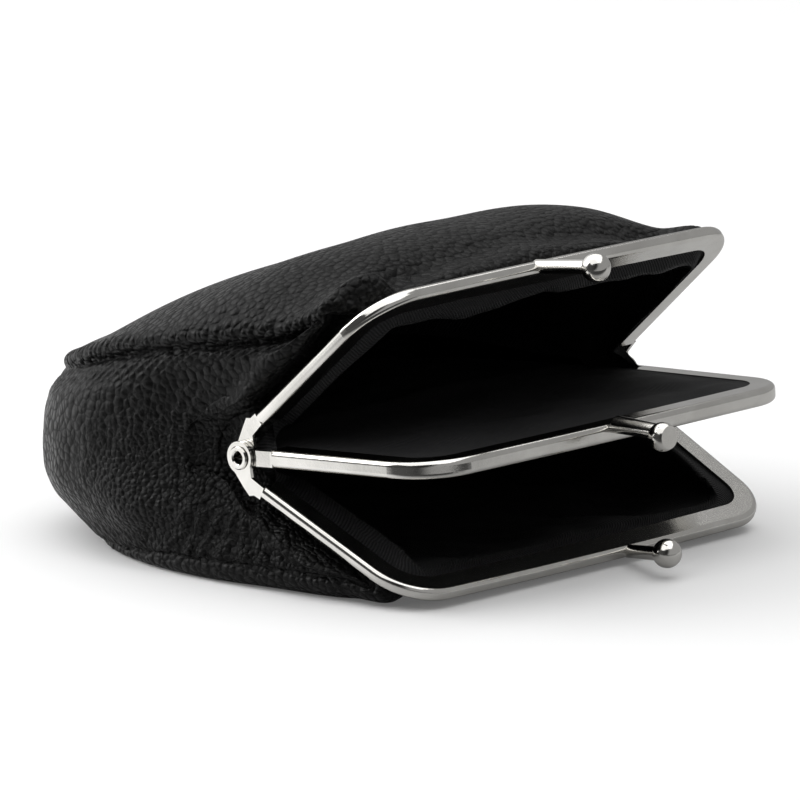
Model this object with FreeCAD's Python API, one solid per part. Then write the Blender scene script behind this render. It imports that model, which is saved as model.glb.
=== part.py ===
import FreeCAD, Part
import math
import os

V = FreeCAD.Vector

# Three bent frames on one hinge axis
HINGE_HALF = 54.0
CORNER_HALF = 51.2
FRAME_REACH = 47.5
CORNER_R = 11.5
BAR_BOW = 0.75
CHANNEL_W = 4.8
WALL = 0.6
RIM_R = 1.1
OUTER_T = 2.7
MIDDLE_T = 3.5
STACK_GAP = 0.35
OUTER_OFFSET = MIDDLE_T / 2 + STACK_GAP + OUTER_T / 2
CHANNEL_START = 7.0
TOP_ANGLE = 42.3
MIDDLE_ANGLE = 4.4
BOTTOM_ANGLE = -23.5

# Flat lugs stacked along the hinge axis
LUG_T = 0.7
LUG_GAP = 0.15
LUG_R = 3.1
LUG_BEND = 3.6
LUG_TAIL = 0.5
LUG_PITCH = LUG_T + LUG_GAP
MIDDLE_NECK = 1.5
BARREL_R = 1.55
RIVET_HOLE_R = 1.2
RIVET_FLANGE_R = 2.25
RIVET_FLANGE_T = 0.35
RUN_FIT = 0.05
MIDDLE_HALF = HINGE_HALF - LUG_PITCH
TOP_HALF = HINGE_HALF - 2 * LUG_PITCH
RIVET_INNER = HINGE_HALF - 2 * LUG_PITCH - LUG_T - LUG_GAP - RIVET_FLANGE_T

# Clasp balls on curled stems
BALL_R = 2.8
FACET_R = 2.2
STEM_BASE_R = 1.4
STEM_TIP_R = 1.6
STEM_OPEN = 0.72
STEM_RISE = 0.5
POST_BASE_R = 2.2
POST_TIP_R = 1.8
POST_OPEN = 0.45
POST_RISE = (1.1, 0.6)
STEM_WALL = 0.5
MIDDLE_CLASP_X = -1.05
MIDDLE_CLASP_OUT = 11.55
CLASP_PASS = 2 * BALL_R + 0.3
TOP_CLASP = {"out": 11.7, "drop": 8.6, "lean": -0.6}
BOTTOM_CLASP = {"out": 10.6, "drop": 7.5, "lean": 4.0}

# Soft body
HIDE_T = 1.2
CLOTH_T = 0.6
CLOTH_GAP = 0.5
CORD_R = 0.6
CORD_FIT = 0.1
CORD_SEAT = WALL + 2 * CORD_R + 2 * CORD_FIT
BOARD_T = 1.2
BOARD_BACK = 50.0
BOARD_FIT = 2.1
FIT = 0.4
FLOOR = -24.4
HINGE_Y = -4.55
SEAM_GAP = 0.25

# Top panel: y, half width, seam height, crown height
TOP_RIBS = [
    (-28.6, 38.0, 33.6, 36.4),
    (-16.0, 52.4, 26.2, 39.4),
    (0.0, 55.2, 22.0, 38.2),
    (15.0, 55.8, 18.4, 33.8),
    (32.0, 54.4, 14.6, 27.2),
    (47.0, 49.0, 10.6, 20.8),
    (58.0, 40.5, 8.0, 14.8),
    (64.6, 29.0, 6.4, 9.0),
]
ARCH_SHOULDER = 0.85
ARCH_CROWN = 1.15

# Gusset: x, y, direction of the outward normal, upper seam height, tuck of the foot
GUSSET_RIBS = [
    (60.2, 5.0, 0.0, 20.3, 4.6),
    (60.6, 18.0, 3.0, 17.4, 4.8),
    (59.2, 36.0, 14.0, 13.3, 6.0),
    (52.6, 54.6, 40.0, 8.6, 9.0),
    (37.0, 66.6, 66.0, 6.2, 8.0),
    (0.0, 69.6, 90.0, 5.0, 7.0),
]
# Gusset profile: share of the height, share of the tuck, inset
GUSSET_PROFILE = [
    (0.0, 1.0, 0.0),
    (0.08, 0.5, 0.0),
    (0.2, 0.14, 0.0),
    (0.45, 0.0, 0.2),
    (0.75, 0.0, 1.9),
    (1.0, 0.0, 4.6),
]
GUSSET_FOOT = FLOOR + HIDE_T + SEAM_GAP

# Gusset fronts beside the arms: y, low height, low half width, high height, high half width
UPPER_EAR = [
    (-4.0, 11.3, 53.8, 22.6, 55.4),
    (-12.0, 18.2, 52.6, 24.4, 54.0),
    (-19.0, 24.6, 52.0, 26.0, 52.4),
]
LOWER_EAR = [
    (-8.0, 52.6, -9.8, 55.0),
    (-20.0, 48.6, -15.0, 53.0),
    (-31.0, 43.2, -19.8, 50.0),
]
EAR_BACK = 6.0
UPPER_EAR_FOOT = 5.5
LOWER_EAR_TOP = -5.0

# Bottom panel outline, right half from front to back
FLOOR_OUTLINE = [
    (42.0, -35.6),
    (49.4, -20.0),
    (54.6, -4.0),
    (56.2, 10.0),
    (55.2, 24.0),
    (51.8, 38.0),
    (43.6, 53.0),
    (30.0, 61.2),
    (15.0, 63.6),
    (0.0, 64.0),
]

# Pockets: half widths, reach in the middle frame, depth, then the run of the outer cloth
POCKET_SIDE = min(CORNER_HALF, TOP_HALF) - CHANNEL_W - FIT
POCKET_HALVES = (POCKET_SIDE, POCKET_SIDE - 5.0, POCKET_SIDE * 0.61, 0.0)
POCKET_FRONT = FRAME_REACH - CHANNEL_W - 2 * FIT - CLOTH_T
POCKET_REACHES = (POCKET_FRONT - 12.0, POCKET_FRONT - 6.0, POCKET_FRONT, POCKET_FRONT)
POCKET_DEPTHS = (40.0, 47.0, 55.0, 59.0)
POCKET_EDGES = (POCKET_FRONT - 11.0, POCKET_FRONT - 5.0, POCKET_FRONT, POCKET_FRONT)
POCKET_SINK = 0.8
UPPER_RUNS = (
    [(-12.0, 14.4), (0.0, 6.8), (12.0, 6.0), (24.0, 4.6), (32.0, 3.0), (37.0, 1.4), (38.2, 0.0)],
    [(-14.0, 19.5), (0.0, 14.5), (15.0, 13.4), (30.0, 10.4), (39.0, 6.8), (44.0, 3.6), (45.4, 0.6)],
    [(-14.0, 30.6), (0.0, 29.6), (15.0, 25.4), (32.0, 19.4), (44.0, 13.4), (51.5, 7.0), (53.0, 1.6)],
    [(-15.0, 34.8), (0.0, 34.6), (15.0, 30.2), (32.0, 23.6), (47.0, 16.6), (55.5, 9.6), (57.0, 3.0)],
)
LOWER_RUNS = (
    [(-18.0, -11.8), (-4.0, -10.0), (10.0, -10.2), (22.0, -10.6), (31.0, -10.4), (38.0, -8.6), (39.6, -6.2)],
    [(-24.0, -16.0), (-8.0, -16.4), (12.0, -16.6), (27.0, -16.6), (38.0, -15.6), (45.0, -12.6), (46.6, -8.0)],
    [(-26.0, -20.0), (-8.0, -21.4), (12.0, -21.6), (30.0, -21.5), (45.0, -20.2), (54.0, -16.2), (55.4, -10.0)],
    [(-26.0, -20.4), (-8.0, -21.6), (12.0, -21.7), (32.0, -21.6), (48.0, -20.4), (57.0, -16.6), (58.6, -10.0)],
)


def at(x, r, n):
    return V(x, -r, n)


def line(a, b):
    return Part.makeLine(a, b)


def arc(a, m, b):
    return Part.Arc(a, m, b).toShape()


def spline(points):
    curve = Part.BSplineCurve()
    curve.interpolate(points)
    return curve.toShape()


def polygon_prism(points, direction):
    wire = Part.makePolygon(points + [points[0]])
    return Part.Face(wire).extrude(direction)


def mirrored(shape):
    return shape.mirror(V(0, 0, 0), V(1, 0, 0))


def tilt(shape, angle):
    shape.rotate(V(0, 0, 0), V(1, 0, 0), -angle)
    return shape


def arm_axes(half):
    length = math.hypot(CORNER_HALF - half, FRAME_REACH - BAR_BOW)
    along = ((CORNER_HALF - half) / length, (FRAME_REACH - BAR_BOW) / length)
    inward = (-along[1], along[0])
    return along, inward


def rim_x(r, half):
    along, inward = arm_axes(half)
    return half + along[0] / along[1] * r


def bar_radius():
    return (CORNER_HALF ** 2 + BAR_BOW ** 2) / (2 * BAR_BOW)


def outline(inset, start, half):
    """Right half of the outline: arm start, arm end, corner middle, bar end, bar middle."""
    along, inward = arm_axes(half)
    bar_r = bar_radius()
    bar_c = FRAME_REACH - bar_r
    ax = half + inward[0] * CORNER_R
    ar = inward[1] * CORNER_R
    b = 2 * (ax * along[0] + (ar - bar_c) * along[1])
    c = ax ** 2 + (ar - bar_c) ** 2 - (bar_r - CORNER_R) ** 2
    t = (-b + math.sqrt(b * b - 4 * c)) / 2
    cx = ax + t * along[0]
    cr = ar + t * along[1]
    size = math.hypot(cx, cr - bar_c)
    ux = cx / size
    ur = (cr - bar_c) / size
    mx = ux - inward[0]
    mr = ur - inward[1]
    m = math.hypot(mx, mr)
    radius = CORNER_R - inset
    s = (start - inward[1] * inset) / along[1]
    return [
        (half + inward[0] * inset + along[0] * s, start),
        (cx - inward[0] * radius, cr - inward[1] * radius),
        (cx + mx / m * radius, cr + mr / m * radius),
        (ux * (bar_r - inset), bar_c + ur * (bar_r - inset)),
        (0.0, FRAME_REACH - inset),
    ]


def outline_edges(inset, start, half):
    right = [at(x, r, 0) for x, r in outline(inset, start, half)]
    left = [at(-x, r, 0) for x, r in outline(inset, start, half)]
    return [
        line(left[0], left[1]),
        arc(left[1], left[2], left[3]),
        arc(left[3], left[4], right[3]),
        arc(right[3], right[2], right[1]),
        line(right[1], right[0]),
    ]


def band_face(outer, inner, start, half):
    a = outline_edges(outer, start, half)
    b = outline_edges(inner, start, half)
    ends = [
        line(a[-1].Vertexes[-1].Point, b[-1].Vertexes[-1].Point),
        line(b[0].Vertexes[0].Point, a[0].Vertexes[0].Point),
    ]
    return Part.Face(Part.Wire(Part.__sortEdges__(a + b + ends)))


def band(outer, inner, start, thickness, half):
    face = band_face(outer, inner, start, half)
    face.translate(V(0, 0, -thickness / 2))
    return face.extrude(V(0, 0, thickness))


def channel(thickness, hinge_half, filled=False):
    """Folded channel round the outline, or the same form filled, for cutting the stems to it."""
    along, inward = arm_axes(hinge_half)
    x, r = outline(0.0, CHANNEL_START, hinge_half)[0]
    half = thickness / 2
    inner = half - WALL
    k = RIM_R * (1 - math.sqrt(0.5))

    def p(s, n):
        return at(-(x + inward[0] * s), r + inward[1] * s, n)

    edges = [
        line(p(CHANNEL_W, half), p(RIM_R, half)),
        arc(p(RIM_R, half), p(k, half - k), p(0, half - RIM_R)),
        line(p(0, half - RIM_R), p(0, RIM_R - half)),
        arc(p(0, RIM_R - half), p(k, k - half), p(RIM_R, -half)),
        line(p(RIM_R, -half), p(CHANNEL_W, -half)),
    ]
    if filled:
        edges.append(line(p(CHANNEL_W, -half), p(CHANNEL_W, half)))
    else:
        edges += [
            line(p(CHANNEL_W, -half), p(CHANNEL_W, -inner)),
            line(p(CHANNEL_W, -inner), p(WALL, -inner)),
            line(p(WALL, -inner), p(WALL, inner)),
            line(p(WALL, inner), p(CHANNEL_W, inner)),
            line(p(CHANNEL_W, inner), p(CHANNEL_W, half)),
        ]
    path = Part.Wire(outline_edges(0.0, CHANNEL_START, hinge_half))
    return path.makePipeShell([Part.Wire(edges)], True, False)


def lug_strip(half):
    """Left lug plate seen along the frame normal, in its place in the stack."""
    tail = CHANNEL_START + LUG_TAIL
    outer = [
        (-half, -LUG_R - 0.5),
        (-half, LUG_BEND),
        (-rim_x(CHANNEL_START, half), CHANNEL_START),
        (-rim_x(tail, half), tail),
    ]
    points = [at(x, r, -9) for x, r in outer]
    points += [at(x + LUG_T, r, -9) for x, r in reversed(outer)]
    return polygon_prism(points, V(0, 0, 18))


def lug_side(offset, thickness):
    """Lug silhouette along the hinge axis: an eye, a cranked neck and a cut ear at the channel."""
    tail = CHANNEL_START + LUG_TAIL
    if offset == 0:
        half = MIDDLE_NECK
        neck = [(0, half), (tail, half), (tail, -half), (0, -half)]
    else:
        side = math.copysign(1.0, offset)
        low = abs(offset) - thickness / 2
        high = abs(offset) + thickness / 2
        neck = [
            (-1.9, 2.19),
            (5.1, high + 0.55),
            (6.0, high - 0.1),
            (tail, high - 0.1),
            (tail, low + 0.1),
            (6.5, low + 0.02),
            (4.2, low - 0.2),
            (LUG_R, 0.0),
        ]
        neck = [(r, n * side) for r, n in neck]
    plate = polygon_prism([at(-HINGE_HALF - 6, r, n) for r, n in neck], V(16, 0, 0))
    eye = Part.makeCylinder(LUG_R, 16, V(-HINGE_HALF - 6, 0, 0), V(1, 0, 0))
    return eye.fuse(plate)


def make_frame(thickness, offset, half, bore_r):
    lug = lug_strip(half).common(lug_side(offset, thickness))
    lug = lug.cut(Part.makeCylinder(bore_r, 16, V(-HINGE_HALF - 6, 0, 0), V(1, 0, 0)))
    body = channel(thickness, half)
    body.translate(V(0, 0, offset))
    body = body.fuse([lug, mirrored(lug)])
    return body.removeSplitter()


def make_cord(offset, half):
    x, r = outline(WALL + CORD_R + CORD_FIT, CHANNEL_START + 1, half)[0]
    along, inward = arm_axes(half)
    path = Part.Wire(outline_edges(WALL + CORD_R + CORD_FIT, CHANNEL_START + 1, half))
    ring = Part.makeCircle(CORD_R, at(-x, r, 0), at(-along[0], along[1], 0))
    cord = path.makePipeShell([Part.Wire([ring])], True, False)
    cord.translate(V(0, 0, offset))
    return cord


def make_hem(offset, half):
    """Hide and cloth edges pinched in the slot of an outer frame."""
    room = OUTER_T - 2 * WALL
    hem = band(CORD_SEAT, CHANNEL_W + 0.2, CHANNEL_START + 1, room, half)
    hem.translate(V(0, 0, offset))
    return hem


def make_rivet():
    outer = HINGE_HALF + LUG_GAP + RIVET_FLANGE_T
    inner = RIVET_INNER
    profile = [
        (-outer, RIVET_HOLE_R + 0.25),
        (-outer, RIVET_FLANGE_R - 0.2),
        (-outer + 0.2, RIVET_FLANGE_R),
        (-outer + RIVET_FLANGE_T, RIVET_FLANGE_R),
        (-outer + RIVET_FLANGE_T, BARREL_R),
        (-inner - RIVET_FLANGE_T, BARREL_R),
        (-inner - RIVET_FLANGE_T, RIVET_FLANGE_R),
        (-inner, RIVET_FLANGE_R - 0.2),
        (-inner, RIVET_HOLE_R),
        (-outer + 0.25, RIVET_HOLE_R),
    ]
    wire = Part.makePolygon([V(x, y, 0) for x, y in profile + profile[:1]])
    return Part.Face(wire).revolve(V(0, 0, 0), V(1, 0, 0), 360)


def rim_reach(x):
    bar_r = bar_radius()
    return FRAME_REACH - bar_r + math.sqrt(bar_r ** 2 - x ** 2)


def make_stem(base, tip, up, base_r, tip_r, opening):
    """Part of a cone of curled sheet from inside the rim to its ball, open on the side of the catch."""
    axis = tip.sub(base)
    length = axis.Length
    axis.normalize()
    lead = RIM_R + 0.3
    start = base.sub(axis * lead)
    shell = Part.makeCone(base_r, tip_r, length + lead, start, axis)
    bore = Part.makeCone(base_r - STEM_WALL, tip_r - STEM_WALL, length + lead, start, axis)
    side = axis.cross(up)
    side.normalize()
    lift = side.cross(axis)
    trim = Part.makeBox(12, length + lead + 4, 6, V(-6, -2, -6 - opening * tip_r))
    turn = FreeCAD.Matrix(
        side.x, axis.x, lift.x, start.x,
        side.y, axis.y, lift.y, start.y,
        side.z, axis.z, lift.z, start.z,
        0, 0, 0, 1,
    )
    trim.Placement = FreeCAD.Placement(turn)
    return shell.cut(bore).cut(trim)


def make_catch(clasp, x, offset, half):
    """Stem and ball of an outer frame, leaning over towards the middle clasp."""
    side = math.copysign(1.0, offset)
    base_x = x + side * -clasp["lean"]
    base = at(base_x, rim_reach(base_x), offset - side * STEM_RISE)
    tip = at(x, rim_reach(x) + clasp["out"], offset - side * clasp["drop"])
    bar = channel(OUTER_T, half, True)
    bar.translate(V(0, 0, offset))
    stem = make_stem(base, tip, V(0, 0, side), STEM_BASE_R, STEM_TIP_R, STEM_OPEN)
    ball = Part.makeSphere(BALL_R, tip)
    return stem.cut(bar).cut(ball), ball


def make_middle_clasp():
    reach = rim_reach(MIDDLE_CLASP_X)
    centre = at(MIDDLE_CLASP_X, reach + MIDDLE_CLASP_OUT, 0)
    base = at(MIDDLE_CLASP_X, reach, POST_RISE[0])
    tip = at(MIDDLE_CLASP_X, reach + MIDDLE_CLASP_OUT - 1.2, POST_RISE[1])
    bar = channel(MIDDLE_T, MIDDLE_HALF, True)
    ball = Part.makeSphere(BALL_R, centre)
    post = make_stem(base, tip, V(0, 0, 1), POST_BASE_R, POST_TIP_R, POST_OPEN)
    post = post.cut(Part.makeBox(20, 20, 10, at(MIDDLE_CLASP_X - 10, reach + STACK_GAP, MIDDLE_T / 2)))
    facet = math.sqrt(BALL_R ** 2 - FACET_R ** 2)
    cap = Part.makeBox(8, 4, 8, V(centre.x - 4, centre.y - facet - 4, -4))
    return post.cut(bar).cut(ball), ball.cut(cap)


def hide_band(outer, inner):
    return Part.Wire([
        spline(outer),
        line(outer[-1], inner[-1]),
        spline(list(reversed(inner))),
        line(inner[0], outer[0]),
    ])


def arch(y, half, seam, crown):
    points = []
    for k in range(13):
        t = math.pi * (1 - k / 12)
        c = math.cos(t)
        x = half * math.copysign(abs(c) ** ARCH_SHOULDER, c)
        points.append(V(x, y, seam + (crown - seam) * abs(math.sin(t)) ** ARCH_CROWN))
    return points


def frame_room(offset, angle, half):
    room = band(-FIT, CHANNEL_W + FIT, -4, OUTER_T + 2 * FIT, half)
    room.translate(V(0, 0, offset))
    return tilt(room, angle)


def make_top_panel():
    wires = []
    for y, half, seam, crown in TOP_RIBS:
        outer = arch(y, half, seam, crown)
        inner = arch(y, half - HIDE_T, seam, crown - HIDE_T)
        wires.append(hide_band(outer, inner))
    panel = Part.makeLoft(wires, True, False)
    return panel.cut(frame_room(OUTER_OFFSET, TOP_ANGLE, TOP_HALF))


def gusset_rib(x, y, turn, seam, tuck):
    a = math.radians(turn)
    out = V(math.cos(a), math.sin(a), 0)
    outer = []
    inner = []
    for height, share, inset in GUSSET_PROFILE:
        z = GUSSET_FOOT + (seam - SEAM_GAP - GUSSET_FOOT) * height
        p = V(x, y, z).sub(out * (tuck * share + inset))
        outer.append(p)
        inner.append(p.sub(out * HIDE_T))
    return outer, inner


def make_gusset():
    right = [gusset_rib(*rib) for rib in GUSSET_RIBS]
    wires = [hide_band(outer, inner) for outer, inner in right]
    for outer, inner in reversed(right[:-1]):
        wires.append(hide_band([V(-p.x, p.y, p.z) for p in outer], [V(-p.x, p.y, p.z) for p in inner]))
    strip = Part.makeLoft(wires, True, False)
    ears = []
    for rows in (upper_ear_rows(), lower_ear_rows()):
        ear = Part.makeLoft([ear_rib(*row) for row in rows], True, False)
        ears += [ear, mirrored(ear)]
    return strip.fuse(ears).removeSplitter()


def gusset_x(z):
    """Half width of the gusset's front rib at a height."""
    x, y, turn, seam, tuck = GUSSET_RIBS[0]
    f = (z - GUSSET_FOOT) / (seam - SEAM_GAP - GUSSET_FOOT)
    for low, high in zip(GUSSET_PROFILE, GUSSET_PROFILE[1:]):
        if f <= high[0] + 1e-6:
            break
    k = (f - low[0]) / (high[0] - low[0])
    share = low[1] + (high[1] - low[1]) * k
    inset = low[2] + (high[2] - low[2]) * k
    return x - tuck * share - inset


def ear_rib(y, z0, x0, z1, x1):
    outer = []
    inner = []
    for k in range(4):
        f = k / 3
        p = V(x0 + (x1 - x0) * f, y, z0 + (z1 - z0) * f)
        outer.append(p)
        inner.append(p.sub(V(HIDE_T, 0, 0)))
    return hide_band(outer, inner)


def upper_ear_rows():
    foot = UPPER_EAR_FOOT
    seam = GUSSET_RIBS[0][3] - 2 * SEAM_GAP
    return [(EAR_BACK, foot, gusset_x(foot), seam, gusset_x(seam))] + UPPER_EAR


def lower_ear_rows():
    foot = GUSSET_FOOT
    top = LOWER_EAR_TOP
    rows = [(EAR_BACK, foot, gusset_x(foot), top, gusset_x(top))]
    return rows + [(y, foot, x0, z1, x1) for y, x0, z1, x1 in LOWER_EAR]


def make_bottom_panel():
    right = [V(x, y, FLOOR) for x, y in FLOOR_OUTLINE]
    left = [V(-p.x, p.y, FLOOR) for p in reversed(right[:-1])]
    edges = [spline(right + left), line(left[-1], right[0])]
    panel = Part.Face(Part.Wire(edges)).extrude(V(0, 0, HIDE_T))
    return panel


def cloth_loop(x, points):
    outer = [V(x, y, z) for y, z in points]
    inner = []
    last = len(points) - 1
    for k in range(len(points)):
        a = points[max(k - 1, 0)]
        b = points[min(k + 1, last)]
        size = math.hypot(b[0] - a[0], b[1] - a[1])
        ny = (b[1] - a[1]) / size
        nz = -(b[0] - a[0]) / size
        inner.append(V(x, points[k][0] + ny * CLOTH_T, points[k][1] + nz * CLOTH_T))
    return hide_band(outer, inner)


def on_plane(angle, r, n):
    c = math.cos(math.radians(angle))
    s = math.sin(math.radians(angle))
    return (-c * r + s * n, s * r + c * n)


def floor_run(sign, reach, back):
    """Run of cloth along the divider from the pocket's end to the middle frame's bar."""
    n = sign * (BOARD_T / 2 + CLOTH_T + CLOTH_GAP)
    deep = back - 6
    near = back - 10
    steps = [-deep, -near] + [-near + (near + reach) * k / 5 for k in range(1, 6)]
    return [on_plane(MIDDLE_ANGLE, r, n) for r in steps]


def make_pocket(sign, angle, runs):
    """One pocket: cloth from an outer frame round the closed end and back to the middle frame."""
    n = sign * (OUTER_OFFSET - POCKET_SINK)
    loops = []
    for x, edge, run, reach, back in zip(POCKET_HALVES, POCKET_EDGES, runs, POCKET_REACHES, POCKET_DEPTHS):
        loops.append((x, [on_plane(angle, edge, n)] + run + floor_run(sign, reach, back)))
    wires = [cloth_loop(-sign * x, points) for x, points in loops]
    wires += [cloth_loop(sign * x, points) for x, points in reversed(loops[:-1])]
    return Part.makeLoft(wires, True, True)


def make_divider():
    """Stiff board held in the middle frame and reaching back between the two pockets."""
    inset = CORD_SEAT
    start = CHANNEL_START + 1
    edges = outline_edges(inset, start, MIDDLE_HALF)
    a = edges[0].Vertexes[0].Point
    b = edges[-1].Vertexes[-1].Point
    back = BOARD_BACK
    corner = 16.0
    k = corner * (1 - math.sqrt(0.5))
    h = RIVET_INNER - BOARD_FIT
    tail = [
        line(b, V(h, -start, 0)),
        line(V(h, -start, 0), V(h, back - corner, 0)),
        arc(V(h, back - corner, 0), V(h - k, back - k, 0), V(h - corner, back, 0)),
        line(V(h - corner, back, 0), V(-h + corner, back, 0)),
        arc(V(-h + corner, back, 0), V(-h + k, back - k, 0), V(-h, back - corner, 0)),
        line(V(-h, back - corner, 0), V(-h, -start, 0)),
        line(V(-h, -start, 0), a),
    ]
    face = Part.Face(Part.Wire(Part.__sortEdges__(edges + tail)))
    face.translate(V(0, 0, -BOARD_T / 2))
    return face.extrude(V(0, 0, BOARD_T))


def build():
    nodes = {}
    outer_bore = BARREL_R + RUN_FIT
    nodes["top_frame"] = tilt(make_frame(OUTER_T, OUTER_OFFSET, TOP_HALF, outer_bore), TOP_ANGLE)
    nodes["middle_frame"] = tilt(make_frame(MIDDLE_T, 0, MIDDLE_HALF, BARREL_R), MIDDLE_ANGLE)
    nodes["bottom_frame"] = tilt(make_frame(OUTER_T, -OUTER_OFFSET, HINGE_HALF, outer_bore), BOTTOM_ANGLE)
    nodes["top_cord"] = tilt(make_cord(OUTER_OFFSET, TOP_HALF), TOP_ANGLE)
    nodes["middle_cord"] = tilt(make_cord(0, MIDDLE_HALF), MIDDLE_ANGLE)
    nodes["bottom_cord"] = tilt(make_cord(-OUTER_OFFSET, HINGE_HALF), BOTTOM_ANGLE)
    nodes["top_hem"] = tilt(make_hem(OUTER_OFFSET, TOP_HALF), TOP_ANGLE)
    nodes["bottom_hem"] = tilt(make_hem(-OUTER_OFFSET, HINGE_HALF), BOTTOM_ANGLE)

    stem, ball = make_catch(TOP_CLASP, MIDDLE_CLASP_X - CLASP_PASS, OUTER_OFFSET, TOP_HALF)
    nodes["top_clasp_stem"] = tilt(stem, TOP_ANGLE)
    nodes["top_clasp_ball"] = tilt(ball, TOP_ANGLE)
    stem, ball = make_catch(BOTTOM_CLASP, MIDDLE_CLASP_X + CLASP_PASS, -OUTER_OFFSET, HINGE_HALF)
    nodes["bottom_clasp_stem"] = tilt(stem, BOTTOM_ANGLE)
    nodes["bottom_clasp_ball"] = tilt(ball, BOTTOM_ANGLE)
    post, head = make_middle_clasp()
    nodes["middle_clasp_post"] = tilt(post, MIDDLE_ANGLE)
    nodes["middle_clasp_head"] = tilt(head, MIDDLE_ANGLE)

    nodes["left_rivet"] = make_rivet()
    nodes["right_rivet"] = mirrored(make_rivet())
    nodes["divider_board"] = tilt(make_divider(), MIDDLE_ANGLE)
    nodes["top_panel"] = make_top_panel()
    nodes["gusset"] = make_gusset()
    nodes["bottom_panel"] = make_bottom_panel()
    nodes["upper_lining"] = make_pocket(1, TOP_ANGLE, UPPER_RUNS)
    nodes["lower_lining"] = make_pocket(-1, BOTTOM_ANGLE, LOWER_RUNS)
    return nodes


def main():
    nodes = build()
    os.makedirs("parts", exist_ok=True)
    for name, shape in nodes.items():
        shape.translate(V(0, HINGE_Y, -FLOOR))
        solids = shape.Solids
        if len(solids) == 1:
            shape = solids[0]
        box = shape.optimalBoundingBox(True, False)
        print(name, len(solids), shape.isValid(), round(shape.Volume, 1),
              [round(v, 2) for v in (box.XMin, box.XMax, box.YMin, box.YMax, box.ZMin, box.ZMax)])
        shape.exportStep("parts/%s.step" % name)
    print("hinge axis at y", HINGE_Y, "z", -FLOOR)


main()
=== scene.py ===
import math

import bpy
import numpy as np
from mathutils import Matrix, Vector


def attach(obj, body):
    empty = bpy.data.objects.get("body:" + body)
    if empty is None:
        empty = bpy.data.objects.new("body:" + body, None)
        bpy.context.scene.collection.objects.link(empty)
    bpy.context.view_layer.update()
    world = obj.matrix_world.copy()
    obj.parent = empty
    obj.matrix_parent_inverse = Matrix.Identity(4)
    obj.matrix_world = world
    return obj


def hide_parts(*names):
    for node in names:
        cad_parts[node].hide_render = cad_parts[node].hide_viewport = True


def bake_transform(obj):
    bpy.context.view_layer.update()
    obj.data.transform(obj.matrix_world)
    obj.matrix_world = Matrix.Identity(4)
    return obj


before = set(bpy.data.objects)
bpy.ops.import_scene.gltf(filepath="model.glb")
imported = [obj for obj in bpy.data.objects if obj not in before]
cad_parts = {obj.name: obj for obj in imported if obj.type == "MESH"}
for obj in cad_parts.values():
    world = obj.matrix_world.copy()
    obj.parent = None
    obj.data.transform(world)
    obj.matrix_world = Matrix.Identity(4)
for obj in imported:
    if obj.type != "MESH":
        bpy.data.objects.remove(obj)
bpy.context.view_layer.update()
print("frame loaded:", len(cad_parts), "nodes")

# the hinge line is the datum for all soft pieces; millimetres until a mesh is made
hinge = {"y": -4.55, "z": 24.4}
frames = {
    "top": {"tilt": 42.3, "lift": 3.45, "half": 52.3},
    "middle": {"tilt": 4.4, "lift": 0.0, "half": 53.15},
    "bottom": {"tilt": -23.5, "lift": -3.45, "half": 54.0},
    "reach": 47.5, "bow": 0.75, "corner": 11.5, "cornerHalf": 51.2, "cornerR": 35.5, "armEnd": 7.0,
    "barEnd": 0.46, "cornerEnd": 0.67, "barToArm": (0.44, 0.64),  # shares of the way from the bar to the hinge
}


# small maths for the soft surfaces

def toWorld(points):
    return (np.asarray(points, float) + np.array([0.0, hinge["y"], hinge["z"]])) / 1000.0


def onFrame(which, x, r, n):
    # x across, r out from the hinge and n off the plane of a frame
    a = math.radians(frames[which]["tilt"])
    c, s = math.cos(a), math.sin(a)
    x, r, n = np.broadcast_arrays(x, r, n)
    return np.stack([x, -c * r + s * n, s * r + c * n], -1)


def rim(which, h, inset):
    # left half of a bent frame, h 0 at the middle of the bar to 1 at the hinge
    h = np.asarray(h, float)
    f = frames
    half = f[which]["half"]
    taper = (half - f["cornerHalf"]) / (f["reach"] - f["bow"])
    cornerX = half - taper * f["cornerR"] - f["corner"]
    inset = np.broadcast_to(np.asarray(inset, float), h.shape)
    xBar = -cornerX * np.clip(h / f["barEnd"], 0, 1)
    rBar = f["reach"] - f["bow"] * (xBar / f["cornerHalf"]) ** 2 - inset
    a = 0.5 * math.pi * np.clip((h - f["barEnd"]) / (f["cornerEnd"] - f["barEnd"]), 0, 1)
    xBend = -cornerX - (f["corner"] - inset) * np.sin(a)
    rBend = f["cornerR"] + (f["corner"] - inset) * np.cos(a)
    k = np.clip((h - f["cornerEnd"]) / (1 - f["cornerEnd"]), 0, 1)
    rArm = f["cornerR"] + (f["armEnd"] - f["cornerR"]) * k
    xArm = -half + taper * rArm + inset
    x = np.where(h <= f["barEnd"], xBar, np.where(h <= f["cornerEnd"], xBend, xArm))
    r = np.where(h <= f["barEnd"], rBar, np.where(h <= f["cornerEnd"], rBend, rArm))
    return x, r


def smooth(a, b, v):
    t = np.clip((np.asarray(v, float) - a) / (b - a), 0, 1)
    return t * t * (3 - 2 * t)


def mix(a, b, t):
    return a + (b - a) * t


def bell(v, centre, width):
    return np.exp(-((v - centre) / width) ** 2)


def wave(run, pitch, wander):
    return np.sin(2 * math.pi * run / pitch + wander)


def pleats(run, pitch, wander):
    # rounded folds parted by narrow valleys
    return np.abs(np.sin(math.pi * run / pitch + wander)) ** 0.7 - 0.6


def hermite(t):
    # weights of the start, its slope, the end and its slope
    t2, t3 = t * t, t * t * t
    return 2 * t3 - 3 * t2 + 1, t3 - 2 * t2 + t, 3 * t2 - 2 * t3, t3 - t2


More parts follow.
